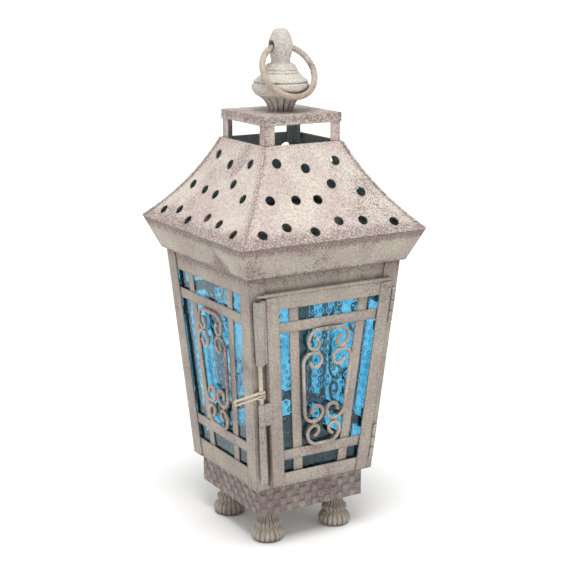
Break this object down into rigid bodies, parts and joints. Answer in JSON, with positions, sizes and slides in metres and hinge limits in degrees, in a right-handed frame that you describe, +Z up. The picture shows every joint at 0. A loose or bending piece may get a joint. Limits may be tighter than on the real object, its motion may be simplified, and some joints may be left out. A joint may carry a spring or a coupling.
{
  "type": "candle lantern",
  "caption": "Square sheet-metal candle lantern that widens upwards, with textured blue glass behind bars and wire scrolls, a hinged door, pierced roof and hanging ring.",
  "frame": {"origin": "on the ground under the centre of the lantern, level with the bottoms of the feet", "axes": "+Z up, door on the -Y face with its hinge on the +X side, +X to the right seen from the door"},
  "size_m": [0.155, 0.155, 0.38],
  "materials": {
    "painted_sheet": "distressed cream chalk paint over dark primer, worn at folds",
    "painted_castings": "distressed cream chalk paint with dark wash in the flutes",
    "painted_wire": "cream paint rubbed to brown on the wire",
    "blue_glass": "rolled blue glass with small ring-shaped bubbles",
    "tinned_clips": "dull tinned strip",
    "plain_steel": "plain steel, slightly darkened"
  },
  "bodies": {
    "housing": {"base_band": "painted_sheet", "base_plate": "painted_sheet", "bolt_keeper": "painted_sheet", "bottom_rail_back": "painted_sheet", "bottom_rail_front": "painted_sheet", "bottom_rail_left": "painted_sheet", "bottom_rail_right": "painted_sheet", "candle_cup": "painted_sheet", "corner_post_back_left": "painted_sheet", "corner_post_back_right": "painted_sheet", "corner_post_front_left": "painted_sheet", "corner_post_front_right": "painted_sheet", "cornice": "painted_sheet", "cross_bars_back": "painted_sheet", "cross_bars_left": "painted_sheet", "cross_bars_right": "painted_sheet", "cup_rivet": "plain_steel", "finial": "painted_castings", "finial_nut": "plain_steel", "floor_plate": "painted_sheet", "foot_back_left": "painted_castings", "foot_back_right": "painted_castings", "foot_front_left": "painted_castings", "foot_front_right": "painted_castings", "foot_screws": "plain_steel", "frame_knuckles": "painted_sheet", "glass_back": "blue_glass", "glass_clips": "tinned_clips", "glass_left": "blue_glass", "glass_right": "blue_glass", "hinge_pins": "plain_steel", "roof_panel_back": "painted_sheet", "roof_panel_front": "painted_sheet", "roof_panel_left": "painted_sheet", "roof_panel_right": "painted_sheet", "roof_seams": "painted_sheet", "scrollwork_back": "painted_wire", "scrollwork_left": "painted_wire", "scrollwork_right": "painted_wire", "top_rail_back": "painted_sheet", "top_rail_front": "painted_sheet", "top_rail_left": "painted_sheet", "top_rail_right": "painted_sheet", "upright_bars_back": "painted_sheet", "upright_bars_left": "painted_sheet", "upright_bars_right": "painted_sheet", "vent_cap": "painted_sheet", "vent_posts": "painted_sheet"},
    "door": {"door_cross_bars": "painted_sheet", "door_frame": "painted_sheet", "door_glass": "blue_glass", "door_glass_clips": "tinned_clips", "door_knuckles": "painted_sheet", "door_scrollwork": "painted_wire", "door_upright_bars": "painted_sheet", "upper_bolt_sleeve": "painted_sheet", "lower_bolt_sleeve": "painted_sheet"},
    "bolt": {"door_bolt": "painted_wire"},
    "ring": {"hanging_ring": "painted_wire"}
  },
  "joints": [
    {"name": "door_hinge", "type": "hinge", "parent": "housing", "child": "door", "pos_m": [0.04556, -0.05319, 0.04777], "axis": [0.0836, -0.0836, 0.993], "range_deg": [0, 110]},
    {"name": "bolt_slide", "type": "slide", "parent": "door", "child": "bolt", "axis": [-0.0836, -0.0836, 0.993], "range_m": [-0.0035, 0.014]},
    {"name": "ring_swing", "type": "hinge", "parent": "housing", "child": "ring", "pos_m": [0, 0, 0.3676], "axis": [-1, 0, 0], "range_deg": [0, 294.7]}
  ]
}
